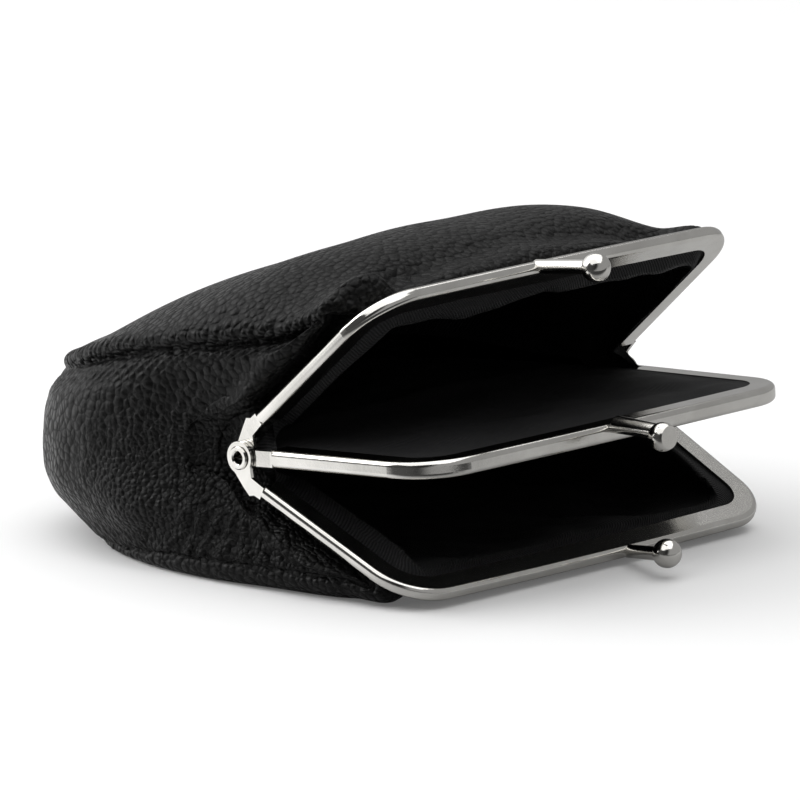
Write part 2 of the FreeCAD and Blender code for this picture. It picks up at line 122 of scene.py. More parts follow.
def sweep(rows, counts):
    # smooth curves through rows of points, one curve for each column
    p = np.asarray(rows, float)
    d = np.linalg.norm(np.diff(p, axis=0), axis=-1)[..., None] + 1e-6
    s = np.diff(p, axis=0) / d
    m = np.empty_like(p)
    m[1:-1] = (s[1:] * d[:-1] + s[:-1] * d[1:]) / (d[:-1] + d[1:])
    m[0], m[-1] = s[0], s[-1]
    out = []
    for k, n in enumerate(counts):
        start, leave, end, arrive = hermite((np.arange(n) / n)[:, None, None])
        out.append(start * p[k] + leave * d[k] * m[k] + end * p[k + 1] + arrive * d[k] * m[k + 1])
    out.append(p[-1][None])
    return np.concatenate(out, 0)


def spread(keys, table, h):
    # smooth columns through the key columns
    table = np.asarray(table, float)
    keys = np.asarray(keys, float)
    slope = np.gradient(table, keys, axis=0)
    k = np.clip(np.searchsorted(keys, h, "right") - 1, 0, len(keys) - 2)
    w = keys[k + 1] - keys[k]
    start, leave, end, arrive = hermite((h - keys[k]) / w)
    start, leave, end, arrive = (v[:, None, None] for v in (start, leave * w, end, arrive * w))
    return start * table[k] + leave * slope[k] + end * table[k + 1] + arrive * slope[k + 1]


def evenRow(x, z, y, q):
    # points at shares q of the length of a half profile, mirrored by the sign of q
    run = np.concatenate([[0], np.cumsum(np.hypot(np.diff(x), np.diff(z)))])
    run /= run[-1]
    k = np.abs(q)
    return np.stack([np.sign(q) * np.interp(k, run, x), np.full_like(q, y), np.interp(k, run, z)], -1)


def ripple(points, length, seed, waves=14):
    # soft wandering noise made of seeded waves, about -1 to 1
    rng = np.random.RandomState(seed)
    total = np.zeros(points.shape[:-1])
    for _ in range(waves):
        v = rng.normal(size=3)
        v *= rng.uniform(0.55, 1.5) / np.linalg.norm(v)
        total += np.sin(points @ v * (2 * math.pi / length) + rng.uniform(0, 6.283))
    return total / math.sqrt(waves)


def gridNormals(p):
    a = np.gradient(p, axis=0)
    b = np.gradient(p, axis=1)
    n = np.cross(a, b)
    return n / (np.linalg.norm(n, axis=-1, keepdims=True) + 1e-9)


def runLength(p, axis):
    d = np.linalg.norm(np.diff(p, axis=axis), axis=-1)
    pad = [(0, 0), (0, 0)]
    pad[axis] = (1, 0)
    return np.cumsum(np.pad(d, pad), axis=axis)


def gridMesh(name, p, normals=None):
    rows, cols = p.shape[:2]
    mesh = bpy.data.meshes.new(name)
    i = np.arange(rows * cols).reshape(rows, cols)
    quads = np.stack([i[:-1, :-1], i[:-1, 1:], i[1:, 1:], i[1:, :-1]], -1).reshape(-1, 4)
    if normals is not None and (gridNormals(p) * normals).sum(-1).mean() > 0:
        quads = quads[:, ::-1]
    mesh.vertices.add(rows * cols)
    mesh.vertices.foreach_set("co", toWorld(p).astype(np.float32).ravel())
    mesh.loops.add(quads.size)
    mesh.loops.foreach_set("vertex_index", quads.ravel().astype(np.int32))
    mesh.polygons.add(len(quads))
    mesh.polygons.foreach_set("loop_start", (np.arange(len(quads)) * 4).astype(np.int32))
    mesh.polygons.foreach_set("use_smooth", np.ones(len(quads), bool))
    layer = mesh.uv_layers.new(name="run")
    uv = np.stack([runLength(p, 1), runLength(p, 0)], -1)
    layer.data.foreach_set("uv", (uv.reshape(-1, 2)[quads.ravel()] / 1000.0).astype(np.float32).ravel())
    mesh.update()
    mesh.validate()
    if normals is not None:
        mesh.normals_split_custom_set_from_vertices(normals.reshape(-1, 3).tolist())
    obj = bpy.data.objects.new(name, mesh)
    bpy.context.scene.collection.objects.link(obj)
    return obj


def facing(p, direction):
    # outward normals of a grid
    n = gridNormals(p)
    return n if (n @ np.asarray(direction, float)).mean() > 0 else -n


def borderOf(p):
    # left side, closed end and right side of a panel as one line of points
    return np.concatenate([p[:, 0], p[-1, 1:-1], p[::-1, -1]], 0)


def sewTo(p, edge, border, reach):
    # draws one edge of a grid onto the nearest points of a border, fading over reach columns
    line = p[:, edge]
    a, b = border[:-1], border[1:]
    ab = b - a
    t = ((line[:, None] - a) * ab).sum(-1) / ((ab * ab).sum(-1) + 1e-9)
    foot = a + np.clip(t, 0, 1)[..., None] * ab
    best = np.argmin(((line[:, None] - foot) ** 2).sum(-1), 1)
    move = foot[np.arange(len(line)), best] - line
    k = np.arange(p.shape[1]) if edge == 0 else np.arange(p.shape[1])[::-1]
    fade = 1 - smooth(0, reach, k)
    return p + move[:, None] * fade[None, :, None]


# shader helpers

def newMaterial(name):
    material = bpy.data.materials.new(name)
    material.use_nodes = True
    tree = material.node_tree
    tree.nodes.clear()
    out = tree.nodes.new("ShaderNodeOutputMaterial")
    bsdf = tree.nodes.new("ShaderNodeBsdfPrincipled")
    tree.links.new(bsdf.outputs["BSDF"], out.inputs["Surface"])
    return material, tree, bsdf


def place(tree, kind, **values):
    node = tree.nodes.new(kind)
    for key, value in values.items():
        if key in node.inputs:
            node.inputs[key].default_value = value
        else:
            setattr(node, key, value)
    return node


def calc(tree, operation, *values, clamp=False):
    node = tree.nodes.new("ShaderNodeMath")
    node.operation = operation
    node.use_clamp = clamp
    for socket, value in zip(node.inputs, values):
        if isinstance(value, (int, float)):
            socket.default_value = value
        else:
            tree.links.new(value, socket)
    return node.outputs[0]


def vectorCalc(tree, operation, vector, fixed=None):
    node = place(tree, "ShaderNodeVectorMath", operation=operation)
    tree.links.new(vector, node.inputs[0])
    if fixed is not None:
        node.inputs[1].default_value = fixed
    return node.outputs["Value" if operation in ("DOT_PRODUCT", "LENGTH") else "Vector"]


def ramp(tree, value, low, high, toLow=0.0, toHigh=1.0, kind="SMOOTHSTEP"):
    node = tree.nodes.new("ShaderNodeMapRange")
    node.interpolation_type = kind
    tree.links.new(value, node.inputs["Value"])
    node.inputs["From Min"].default_value = low
    node.inputs["From Max"].default_value = high
    node.inputs["To Min"].default_value = toLow
    node.inputs["To Max"].default_value = toHigh
    return node.outputs["Result"]


def mixColour(tree, factor, a, b):
    node = tree.nodes.new("ShaderNodeMix")
    node.data_type = "RGBA"
    tree.links.new(factor, node.inputs["Factor"])
    node.inputs[6].default_value = (*a, 1)             # colour sockets A, B and Result
    node.inputs[7].default_value = (*b, 1)
    return node.outputs[2]


def addBump(tree, bsdf, height, strength, distance):
    bump = place(tree, "ShaderNodeBump", Strength=strength, Distance=distance)
    tree.links.new(height, bump.inputs["Height"])
    tree.links.new(bump.outputs["Normal"], bsdf.inputs["Normal"])


def newGroup(name, inputs, outputs):
    group = bpy.data.node_groups.new(name, "ShaderNodeTree")
    for label, default in inputs.items():
        socket = group.interface.new_socket(label, in_out="INPUT", socket_type="NodeSocketFloat")
        socket.default_value = default
    for label in outputs:
        group.interface.new_socket(label, in_out="OUTPUT", socket_type="NodeSocketFloat")
    start = group.nodes.new("NodeGroupInput")
    end = group.nodes.new("NodeGroupOutput")
    return group, start, end


def useGroup(tree, group, **values):
    node = tree.nodes.new("ShaderNodeGroup")
    node.node_tree = group
    for label, value in values.items():
        node.inputs[label].default_value = value
    return node


def makeHandlingGroup():
    # soft patches where a surface has been touched and rubbed
    group, start, end = newGroup("handling", {"Patch": 60.0, "Fine": 900.0}, ["Patches", "Specks"])
    coord = place(group, "ShaderNodeTexCoord")
    for scale, detail, roughness, result in (("Patch", 3.0, 0.55, "Patches"), ("Fine", 4.0, 0.6, "Specks")):
        noise = place(group, "ShaderNodeTexNoise", Detail=detail, Roughness=roughness)
        group.links.new(coord.outputs["Object"], noise.inputs["Vector"])
        group.links.new(start.outputs[scale], noise.inputs["Scale"])
        group.links.new(ramp(group, noise.outputs["Fac"], 0.3, 0.7), end.inputs[result])
    return group


handling = makeHandlingGroup()

hideLook = {
    # the crease colour is painted shade: the creases between the pebbles are coloured darker than the tops
    "paintedCreaseShade": (0.0018, 0.0018, 0.0018), "topColour": (0.0036, 0.0035, 0.0034),
    "patch": 45.0, "fine": 1400.0, "patchTint": 0.35, "leastTint": 0.5,
    "roughness": 0.31, "creaseRoughness": 0.2, "patchRoughness": 0.06, "specular": 0.15,
    "pebble": 600.0, "small": 1900.0, "grainDepth": 0.0006, "panelGrain": 0.85, "gussetGrain": 0.45,
    "grain": {  # in pebble sizes, apart from the bend
        "bendScale": 260.0, "bendBy": 0.0009, "scatter": 0.8, "soften": 0.22, "fall": -1.5,
        "valley": -0.08, "valleyWidth": 0.25, "creaseWidth": 0.22, "grit": -0.12,
    },
    "squeezed": {  # below the hinge, in metres
        "pebble": 880.0, "grain": 1.0, "centre": (0.0, 0.002, 0.0095), "stretch": (0.0, 1.0, 1.4),
        "full": 0.012, "none": 0.042,
    },
}


def makePebbleGroup():
    # rounded pebbles of grain parted by creases, of uneven height, with fine grit on them
    look = hideLook["grain"]
    group, start, end = newGroup("pebbleGrain", {"Pebble": hideLook["pebble"], "Small": hideLook["small"]},
                                 ["Height", "Crease"])
    coord = place(group, "ShaderNodeTexCoord")
    bend = place(group, "ShaderNodeTexNoise", Scale=look["bendScale"], Detail=2.0)
    shift = place(group, "ShaderNodeVectorMath", operation="SCALE", Scale=look["bendBy"])
    moved = place(group, "ShaderNodeVectorMath", operation="ADD")
    group.links.new(coord.outputs["Object"], bend.inputs["Vector"])
    group.links.new(bend.outputs["Color"], shift.inputs[0])
    group.links.new(coord.outputs["Object"], moved.inputs[0])
    group.links.new(shift.outputs[0], moved.inputs[1])
    dome = place(group, "ShaderNodeTexVoronoi", feature="SMOOTH_F1", Randomness=look["scatter"],
                 Smoothness=look["soften"])
    edge = place(group, "ShaderNodeTexVoronoi", feature="DISTANCE_TO_EDGE", Randomness=look["scatter"])
    grit = place(group, "ShaderNodeTexVoronoi", feature="F1", Randomness=1.0)
    for node, label in ((dome, "Pebble"), (edge, "Pebble"), (grit, "Small")):
        group.links.new(moved.outputs[0], node.inputs["Vector"])
        group.links.new(start.outputs[label], node.inputs["Scale"])
    away = calc(group, "MULTIPLY", dome.outputs["Distance"], dome.outputs["Distance"])
    height = calc(group, "MULTIPLY_ADD", away, look["fall"], 1.0)
    height = calc(group, "ADD", height,
                  ramp(group, edge.outputs["Distance"], 0.0, look["valleyWidth"], look["valley"], 0.0))
    height = calc(group, "ADD", height, calc(group, "MULTIPLY", grit.outputs["Distance"], look["grit"]))
    group.links.new(height, end.inputs["Height"])
    group.links.new(ramp(group, edge.outputs["Distance"], 0.0, look["creaseWidth"], 1.0, 0.0), end.inputs["Crease"])
    return group


pebbleGrain = makePebbleGroup()


def creaseBelow(tree, height):
    # finer, deeper grain where the gusset is squeezed below the hinge
    look = hideLook["squeezed"]
    fine = useGroup(tree, pebbleGrain, Pebble=look["pebble"], Small=hideLook["small"])
    coord = place(tree, "ShaderNodeTexCoord")
    where = vectorCalc(tree, "SUBTRACT", coord.outputs["Object"], look["centre"])
    away = vectorCalc(tree, "LENGTH", vectorCalc(tree, "MULTIPLY", where, look["stretch"]))
    blend = tree.nodes.new("ShaderNodeMix")
    tree.links.new(ramp(tree, away, look["full"], look["none"], 1.0, 0.0), blend.inputs["Factor"])
    tree.links.new(height, blend.inputs["A"])
    tree.links.new(calc(tree, "MULTIPLY", fine.outputs["Height"], look["grain"]), blend.inputs["B"])
    return blend.outputs["Result"]


def makeHideMaterial(name, strength, creased=False):
    look = hideLook
    material, tree, bsdf = newMaterial(name)
    grain = useGroup(tree, pebbleGrain, Pebble=look["pebble"], Small=look["small"])
    touch = useGroup(tree, handling, Patch=look["patch"], Fine=look["fine"])
    crease, patches = grain.outputs["Crease"], touch.outputs["Patches"]
    tops = calc(tree, "SUBTRACT", 1.0, crease)
    rubbed = calc(tree, "MULTIPLY_ADD", patches, look["patchTint"], look["leastTint"])
    tint = calc(tree, "MULTIPLY", tops, rubbed, clamp=True)
    # the creases between the pebbles are painted darker as shade; the rubbed patches vary the tone at random
    tree.links.new(mixColour(tree, tint, look["paintedCreaseShade"], look["topColour"]), bsdf.inputs["Base Color"])
    rough = calc(tree, "MULTIPLY_ADD", crease, look["creaseRoughness"], look["roughness"])
    rough = calc(tree, "ADD", rough, calc(tree, "MULTIPLY", patches, look["patchRoughness"]))
    tree.links.new(rough, bsdf.inputs["Roughness"])
    height = calc(tree, "MULTIPLY", grain.outputs["Height"], strength)
    if creased:
        height = creaseBelow(tree, height)
    addBump(tree, bsdf, height, 1.0, look["grainDepth"])
    bsdf.inputs["Specular IOR Level"].default_value = look["specular"]
    return material


clothLook = {
    # the ridge colour is a painted sheen on the tops of the cords, the base colour a painted shade between them
    "colour": (0.006, 0.006, 0.0063), "ridge": (0.018, 0.018, 0.019),
    "pitch": 0.00072, "threadPitch": 0.00034, "threadHeight": 0.25, "bendScale": 160.0, "bend": 3.0,
    "bump": 0.8, "bumpDepth": 0.00018, "patch": 70.0, "fine": 1600.0, "roughness": (0.58, 0.7),
    "specular": 0.16, "sheen": 0.02, "sheenRoughness": 0.4,
}


def makeClothMaterial():
    # ribbed lining: fine raised cords across the cloth with a short broken thread in each; the cords are painted
    # lighter as sheen and the valleys between them darker as shade
    look = clothLook
    material, tree, bsdf = newMaterial("ribbedLining")
    uv = place(tree, "ShaderNodeUVMap", uv_map="run")
    bend = place(tree, "ShaderNodeTexNoise", Scale=look["bendScale"], Detail=2.0)
    tree.links.new(uv.outputs["UV"], bend.inputs["Vector"])
    split = place(tree, "ShaderNodeSeparateXYZ")
    tree.links.new(uv.outputs["UV"], split.inputs[0])
    across = calc(tree, "MULTIPLY", split.outputs["X"], 2 * math.pi / look["pitch"])
    across = calc(tree, "ADD", across, calc(tree, "MULTIPLY", bend.outputs["Fac"], look["bend"]))
    along = calc(tree, "MULTIPLY", split.outputs["Y"], 2 * math.pi / look["threadPitch"])
    rib = calc(tree, "MULTIPLY_ADD", calc(tree, "SINE", across), 0.5, 0.5)
    thread = calc(tree, "MULTIPLY_ADD", calc(tree, "SINE", calc(tree, "ADD", along, across)), 0.5, 0.5)
    height = calc(tree, "ADD", rib, calc(tree, "MULTIPLY", thread, look["threadHeight"]))
    # painted sheen on the cords and painted shade in the valleys between them
    tree.links.new(mixColour(tree, rib, look["colour"], look["ridge"]), bsdf.inputs["Base Color"])
    touch = useGroup(tree, handling, Patch=look["patch"], Fine=look["fine"])
    tree.links.new(ramp(tree, touch.outputs["Patches"], 0.0, 1.0, *look["roughness"], "LINEAR"),
                   bsdf.inputs["Roughness"])
    addBump(tree, bsdf, height, look["bump"], look["bumpDepth"])
    bsdf.inputs["Specular IOR Level"].default_value = look["specular"]
    bsdf.inputs["Sheen Weight"].default_value = look["sheen"]
    bsdf.inputs["Sheen Roughness"].default_value = look["sheenRoughness"]
    return material


nickelLook = {
    "bright": (0.80, 0.785, 0.75), "dull": (0.70, 0.685, 0.65), "patch": 130.0, "fine": 2400.0,
    "roughness": 0.085, "patchRoughness": 0.05, "wipeRoughness": 0.03, "bump": 0.05, "bumpDepth": 0.00006,
}


def makeNickelMaterial():
    # polished plating with faint clouding and fine wipe marks
    look = nickelLook
    material, tree, bsdf = newMaterial("polishedNickel")
    touch = useGroup(tree, handling, Patch=look["patch"], Fine=look["fine"])
    patches, specks = touch.outputs["Patches"], touch.outputs["Specks"]
    tree.links.new(mixColour(tree, patches, look["bright"], look["dull"]), bsdf.inputs["Base Color"])
    rough = calc(tree, "MULTIPLY_ADD", patches, look["patchRoughness"], look["roughness"])
    rough = calc(tree, "ADD", rough, calc(tree, "MULTIPLY", specks, look["wipeRoughness"]))
    tree.links.new(rough, bsdf.inputs["Roughness"])
    addBump(tree, bsdf, specks, look["bump"], look["bumpDepth"])
    bsdf.inputs["Metallic"].default_value = 1.0
    return material


boardLook = {"dark": (0.16, 0.14, 0.12), "light": (0.26, 0.235, 0.2), "roughness": (0.75, 0.9),
             "patch": 300.0, "fine": 3000.0}
paperLook = {"dark": (0.24, 0.2, 0.15), "light": (0.4, 0.35, 0.28), "roughness": (0.8, 0.95),
             "patch": 400.0, "fine": 2600.0}


def makeFibreMaterial(name, look):
    # speckled pulp, for the board in the divider and the paper in the channels
    material, tree, bsdf = newMaterial(name)
    touch = useGroup(tree, handling, Patch=look["patch"], Fine=look["fine"])
    tree.links.new(mixColour(tree, touch.outputs["Specks"], look["dark"], look["light"]), bsdf.inputs["Base Color"])
    tree.links.new(ramp(tree, touch.outputs["Patches"], 0, 1, *look["roughness"], "LINEAR"), bsdf.inputs["Roughness"])
    return material


hideMaterial = makeHideMaterial("pebbledBlackHide", hideLook["panelGrain"])
gussetMaterial = makeHideMaterial("stretchedBlackHide", hideLook["gussetGrain"], creased=True)
clothMaterial = makeClothMaterial()
nickelMaterial = makeNickelMaterial()
boardMaterial = makeFibreMaterial("pressedBoard", boardLook)
paperMaterial = makeFibreMaterial("packingPaper", paperLook)


def dress(obj, material):
    obj.data.materials.clear()
    obj.data.materials.append(material)
    return obj


for nodeName in ("top_frame", "middle_frame", "bottom_frame", "top_clasp_stem", "top_clasp_ball",
                 "bottom_clasp_stem", "bottom_clasp_ball", "middle_clasp_post", "middle_clasp_head",
                 "left_rivet", "right_rivet"):
    dress(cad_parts[nodeName], nickelMaterial)
dress(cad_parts["divider_board"], boardMaterial)
print("metal and board dressed")


def followFrame(obj):
    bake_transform(obj)


# top panel of hide

topPanel = {
    "front": [  # rows beside the frame: inset and rise at the bar, then at the arms
        (3.2, 3.45, 3.2, 3.45), (5.2, 3.7, 5.2, 4.2), (5.4, 5.2, 4.4, 6.2),
    ],
    "swellAt": [0.0, 0.25, 0.36, 0.42, 0.47, 0.53, 0.60, 0.64, 0.67],  # shares of the way to the hinge
    "lowSwell": {
        "riseLeft": [6.8, 6.2, 6.0, 6.3, 7.5, 8.6, 8.4, 7.6, 7.0],
        "riseRight": [6.8, 5.8, 5.2, 5.5, 5.6, 5.8, 6.2, 6.6, 7.0],
        "insetLeft": [4.6, 4.8, 5.4, 6.0, 4.6, 3.6, 2.4, 1.4, 0.5],
        "insetRight": [4.6, 4.8, 5.4, 5.8, 5.0, 4.0, 2.6, 1.4, 0.5],
    },
    "highSwell": {
        "riseLeft": [14.6, 12.8, 10.2, 8.2, 9.6, 10.6, 10.6, 9.2, 7.2],
        "riseRight": [14.6, 11.8, 7.8, 6.0, 6.0, 6.4, 7.0, 7.2, 7.2],
        "insetLeft": [9.4, 9.2, 9.0, 8.6, 4.6, 3.4, 1.8, 0.2, -1.2],
        "insetRight": [9.4, 9.2, 9.0, 8.6, 6.0, 4.0, 1.8, 0.2, -1.2],
    },
    "ribs": [  # y, half width, seam height, crown height
        (-16.0, 52.6, 25.8, 37.2), (0.0, 54.8, 21.5, 37.8), (15.0, 56.6, 18.6, 32.4),
        (32.0, 55.6, 14.6, 24.8), (46.0, 51.8, 10.4, 18.1), (56.5, 44.8, 7.4, 13.7),
        (63.2, 34.8, 6.4, 9.4), (66.0, 29.0, 5.4, 6.2),
    ],
    "shoulder": (0.78, 1.1), "shoulderSpan": (30, 56), "crown": 0.78,
    "columns": 261, "columnMix": (0.45, 0.55), "counts": [3, 4, 6, 8, 14, 40, 38, 42, 36, 28, 18, 8],
    "rightDrop": {"by": 1.4, "across": (22, 46), "at": (-16, 13)},
    # folds: height, pitch and wander of the pleats, and where they lie as distance and width
    "pucker": {"height": 0.42, "pitch": 2.1, "wander": 0.9, "at": (2.6, 2.1), "uneven": (0.75, 0.35)},
    "gather": {"height": 0.28, "pitch": 2.3, "wander": 0.8, "at": (6.5, 2.6), "from": (0.40, 0.46), "to": (0.66, 0.60)},
    "roll": 0.8, "rollAt": (3.0, 2.2), "seamDepth": 1.5, "seamWidth": 1.1, "closedEnd": (8, 34),
    "slack": 0.26, "calmFront": (1.5, 5.0),
}


def archRow(y, half, seam, crown, q, shoulder, rise):
    t = np.linspace(0.5 * math.pi, 0.0, 400)
    x = half * np.cos(t) ** shoulder
    z = seam + (crown - seam) * np.sin(t) ** rise
    return evenRow(x, z, y, q)


def frontRow(which, q, barInset, barRise, armInset, armRise):
    # a row beside the frame: bar values in the middle, arm values at the corners
    h = frames["cornerEnd"] * np.abs(q)
    a = smooth(*frames["barToArm"], h)
    sign = 1.0 if which == "top" else -1.0
    x, r = rim(which, h, mix(barInset, armInset, a))
    n = sign * mix(barRise, armRise, a)
    return onFrame(which, np.where(q > 0, -x, x), r, n)


def swellRow(q, table):
    # a row of the top panel above the frame; the left corner stands up in a fold, the right one lies lower
    h = frames["cornerEnd"] * np.abs(q)
    left = q < 0
    window = 9

    def eased(name):
        sides = [np.interp(h, topPanel["swellAt"], table[name + side]) for side in ("Left", "Right")]
        padded = np.pad(np.where(left, *sides), window // 2, "edge")
        return np.convolve(padded, np.ones(window) / window, "valid")

    x, r = rim("top", h, eased("inset"))
    return onFrame("top", np.where(left, x, -x), r, eased("rise"))


def makeTopPanel():
    d = topPanel
    u = np.linspace(-1, 1, d["columns"])
    bent, even = d["columnMix"]
    q = bent * np.sin(0.5 * math.pi * u) + even * u    # closer columns by the seams
    rows = [frontRow("top", q, *row) for row in d["front"]]
    rows += [swellRow(q, d["lowSwell"]), swellRow(q, d["highSwell"])]
    for rib in d["ribs"]:
        rows.append(archRow(*rib, q, mix(*d["shoulder"], smooth(*d["shoulderSpan"], rib[0])), d["crown"]))
    p = sweep(rows, d["counts"])
    drop, pucker, gather = d["rightDrop"], d["pucker"], d["gather"]
    p[..., 2] -= drop["by"] * smooth(*drop["across"], p[..., 0]) * bell(p[..., 1], *drop["at"])
    n = facing(p, (0, 0, 1))
    run = runLength(p, 1)
    edge = np.minimum(run, run[:, -1:] - run)          # mm from the side seam
    front = runLength(p, 0)                            # mm from the frame
    back = front[-1:] - front                          # mm from the seam at the closed end
    seam = np.minimum(edge, back)
    along = np.where(edge < back, front, run)
    far = smooth(*d["closedEnd"], back)
    least, more = pucker["uneven"]
    pleat = pleats(along, pucker["pitch"], pucker["wander"] * ripple(p, 23.0, 5))
    lift = pucker["height"] * pleat * (least + more * ripple(p, 15.0, 6)) * bell(seam, *pucker["at"])
    lift *= mix(0.3, 1.0, far)
    lift += d["roll"] * bell(seam, *d["rollAt"]) * far
    lift -= d["seamDepth"] * bell(seam, 0, d["seamWidth"]) * mix(0.1, 1.0, far)
    h = frames["cornerEnd"] * np.abs(q)[None, :]
    pleat = pleats(run, gather["pitch"], gather["wander"] * ripple(p, 14.0, 8))
    lift += (gather["height"] * pleat * bell(front, *gather["at"])
             * smooth(*gather["from"], h) * smooth(*gather["to"], h))
    lift += d["slack"] * ripple(p, 34.0, 11) * smooth(4, 16, front) * smooth(1, 8, seam)
    lift *= smooth(*d["calmFront"], front)
    p = p + n * lift[..., None]
    return dress(gridMesh("topPanelHide", p, facing(p, (0, 0, 1))), hideMaterial), borderOf(p)


topPanelObj, upperSeam = makeTopPanel()
followFrame(topPanelObj)
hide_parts("top_panel", "top_hem")
print("top panel made")

# bottom panel of hide: flat on the table, rolled up to the lower seam

bottomPanel = {
    "front": [  # as for the top panel
        (3.2, 3.45, 3.2, 3.45), (5.0, 3.9, 5.0, 4.0), (5.6, 5.0, 4.4, 5.0), (7.2, 6.1, 3.4, 5.8), (10.2, 7.0, 2.4, 6.4),
    ],
    "ribs": [  # y, half width at the seam, seam height, roll
        (-24.0, 52.0, -19.7, 6.0), (-8.0, 55.0, -19.8, 4.2), (8.0, 57.0, -20.2, 2.6), (22.0, 56.4, -21.2, 2.2),
        (36.0, 52.2, -22.6, 2.0), (48.0, 43.6, -23.2, 1.8), (56.0, 33.6, -23.4, 1.8), (60.4, 22.0, -23.4, 1.8),
        (61.6, 13.0, -23.4, 1.8),
    ],
    "floor": -24.3, "columns": 181, "counts": [3, 4, 5, 6, 8, 10, 10, 10, 10, 10, 8, 6, 4],
    "pucker": {"height": 0.09, "pitch": 2.6, "wander": 1.7, "at": (2.0, 2.2)},
    "seamDepth": 0.7, "seamWidth": 0.8, "calmFront": (1.5, 6.0),
}


def troughRow(y, half, seam, roll, q):
    floor, flat = bottomPanel["floor"], 120
    a = np.linspace(0, 0.5 * math.pi, 80)
    x = np.concatenate([np.linspace(0, half - roll, flat), half - roll + roll * np.sin(a)[1:]])
    z = np.concatenate([np.full(flat, floor), seam + (floor - seam) * np.cos(a)[1:]])
    return evenRow(x, z, y, q)


def makeBottomPanel():
    d = bottomPanel
    pucker = d["pucker"]
    q = np.linspace(-1, 1, d["columns"])
    rows = [frontRow("bottom", q, *row) for row in d["front"]]
    rows += [troughRow(*rib, q) for rib in d["ribs"]]
    p = sweep(rows, d["counts"])
    n = facing(p, (0, 0, -1))
    run = runLength(p, 1)
    edge = np.minimum(run, run[:, -1:] - run)
    front = runLength(p, 0)
    lift = (pucker["height"] * wave(front, pucker["pitch"], pucker["wander"] * ripple(p, 21.0, 23))
            * bell(edge, *pucker["at"]))
    lift -= d["seamDepth"] * bell(edge, 0, d["seamWidth"])
    lift *= smooth(*d["calmFront"], front)
    p = p + n * lift[..., None]
    p[..., 2] = np.maximum(p[..., 2], d["floor"])
    return dress(gridMesh("bottomPanelHide", p, facing(p, (0, 0, -1))), hideMaterial), borderOf(p)


bottomPanelObj, lowerSeam = makeBottomPanel()
followFrame(bottomPanelObj)
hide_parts("bottom_panel")
print("bottom panel made")

# gusset of hide: the side strip round the bag, split level with the hinge into an upper and a lower half

gusset = {
    "front": [  # inset and rise beside the arms, then x and radius round the hinge; the first rows close it inside
        (3.4, 2.4, -50.7, 0.6), (3.4, 3.0, -50.6, 4.2), (3.4, 3.45, -50.0, 7.2), (5.2, 4.2, -50.5, 7.9),
        (4.2, 6.0, -51.1, 8.3), (1.4, 6.9, -51.8, 9.4), (-0.8, 7.4, -52.6, 11.4),
    ],
    "arm": 0.86, "armTo": 0.985, "letGo": 0.35, "turnHigh": 96.0, "turnLow": -112.0,
    # beside the hinge, against y: height of the upper seam, height of the lower seam and half width
    "nearHigh": ([-24, -15, 0, 12, 25, 36], [27.0, 25.0, 21.8, 18.9, 16.2, 13.3]),
    "nearLow": ([-32, -24, -12, 4, 14, 30], [-21.6, -19.6, -19.6, -20.2, -20.3, -20.3]),
    "nearHalf": ([-32, -22, -12, 0, 12, 20], [54.4, 56.6, 58.2, 59.4, 60.3, 60.6]),
    "nearTuck": 4.8, "nearY": (11.0, 18.0), "nearShares": (0.4, 0.12),
    "ribs": [  # x, y, turn of the outward normal, upper seam height, tuck of the foot, tuck of the top
        (-60.6, 24.0, 6.0, 16.3, 5.4, 3.0), (-59.2, 36.0, 14.0, 13.3, 8.6, 2.6),
        (-52.4, 54.4, 40.0, 8.8, 12.4, 3.2), (-37.0, 66.4, 66.0, 6.4, 11.2, 2.8),
        (-18.0, 69.2, 80.0, 5.5, 11.0, 2.8), (0.0, 69.6, 90.0, 5.2, 10.0, 3.4),
    ],
    "lowSeam": -21.4, "foot": -22.95, "belowWaist": 0.42, "aboveWaist": 0.58, "tuckTurn": (1.4, 2.0),
    "split": 0.47, "levels": 133, "counts": [3, 3, 2, 3, 5, 8, 24, 32, 26, 28, 38, 34, 26, 20],
    "hollow": {"depth": 8.6, "inner": 6, "reach": 36.0, "flatten": 1.15, "curve": 1.35},
    "bulge": {"out": 2.0, "from": -4.0, "height": 17.0, "front": (-20, -4), "back": (44, 26)},
    # folds, written as for the top panel
    "rings": {"height": 0.1, "pitch": 2.7, "wander": 1.6, "from": 8.0, "at": (15.0, 3.6)},
    "fan": {"height": 0.3, "pleats": 30.0, "wander": 2.2},
    "highPucker": {"height": 0.16, "pitch": 2.7, "at": (2.2, 2.4)},
    "lowPucker": {"height": 0.1, "pitch": 2.9, "at": (2.2, 2.6)},
    "puckerWander": 1.7, "foldsEnd": 40, "highGroove": (1.0, 0.9), "lowGroove": (0.8, 0.8),
    "slack": [(0.4, 30.0, 17, (4, 14)), (0.14, 9.0, 19, (3, 9))],  # height, length, seed, distance from a seam
    "calmFront": (2.0, 7.0), "sewn": 22,
}


def gussetOut(f, tuck, top=3.6, turn=gusset["tuckTurn"][0]):
    below, above = gusset["belowWaist"], gusset["aboveWaist"]
    high = -top * np.clip((f - below) / above, 0, 1) ** 2.2
    low = -tuck * np.clip((below - f) / below, 0, 1) ** turn
    return high + low


def gussetRib(x, y, turn, seam, tuck, top, t):
    d = gusset
    z = mix(seam, d["lowSeam"], t)
    f = (z - d["foot"]) / (seam - d["foot"])
    out = gussetOut(f, tuck, top, mix(*d["tuckTurn"], smooth(24, 50, y)))
    a = math.radians(turn)
    return np.stack([x - math.cos(a) * out, y + math.sin(a) * out, z], -1)


